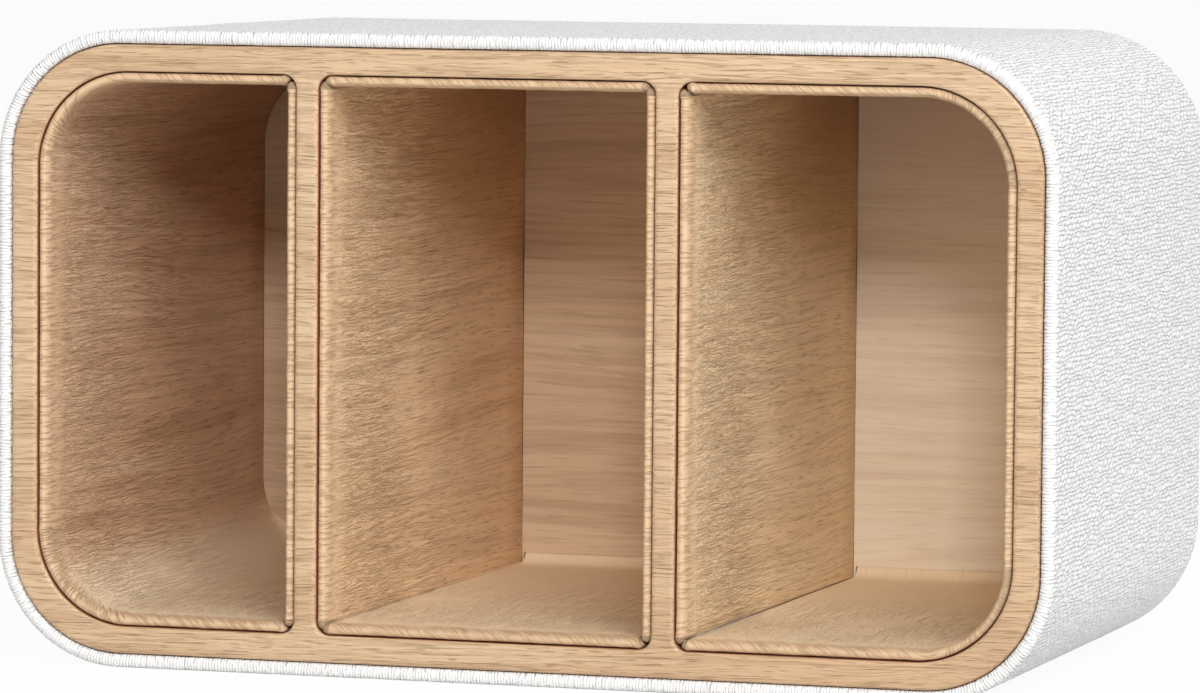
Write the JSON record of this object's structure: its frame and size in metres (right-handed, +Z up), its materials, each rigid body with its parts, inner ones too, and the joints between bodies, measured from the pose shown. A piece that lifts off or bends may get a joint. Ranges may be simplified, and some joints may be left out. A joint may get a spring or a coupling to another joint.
{
  "type": "remote control holder",
  "caption": "Open-fronted box with rounded corners, covered in white linen-textured fabric, with wood-grain lined compartments side by side.",
  "frame": {"origin": "middle of the flat underside, as the holder lies on its long side", "axes": "+X along the width, to the right as seen from the openings; +Y from the openings towards the closed back; +Z up as pictured"},
  "size_m": [0.2, 0.12, 0.117],
  "materials": {
    "linen_cover": "matt, coarse slubby linen weave",
    "oak_leatherette": "satin, printed oak grain running across the width",
    "liner_leatherette": "satin, oak grain with fine wrinkles",
    "fibreboard": "raw",
    "corner_wood": "raw",
    "card": "raw grey board",
    "felt": "matt felt",
    "steel": "bright wire"
  },
  "bodies": {
    "root": {"outer_wrap": "linen_cover", "frame_cover": "oak_leatherette", "left_liner": "liner_leatherette", "middle_liner": "liner_leatherette", "right_liner": "liner_leatherette", "left_back_lining": "liner_leatherette", "middle_back_lining": "liner_leatherette", "right_back_lining": "liner_leatherette", "frame_board": "fibreboard", "top_board": "fibreboard", "bottom_board": "fibreboard", "left_board": "fibreboard", "right_board": "fibreboard", "left_divider": "fibreboard", "right_divider": "fibreboard", "back_board": "fibreboard", "top_left_corner": "corner_wood", "top_right_corner": "corner_wood", "bottom_left_corner": "corner_wood", "bottom_right_corner": "corner_wood", "sleeve_shell": "card", "left_liner_card": "card", "middle_liner_card": "card", "right_liner_card": "card", "left_back_card": "card", "middle_back_card": "card", "right_back_card": "card", "back_felt": "felt", "back_brads": "steel"}
  },
  "joints": []
}
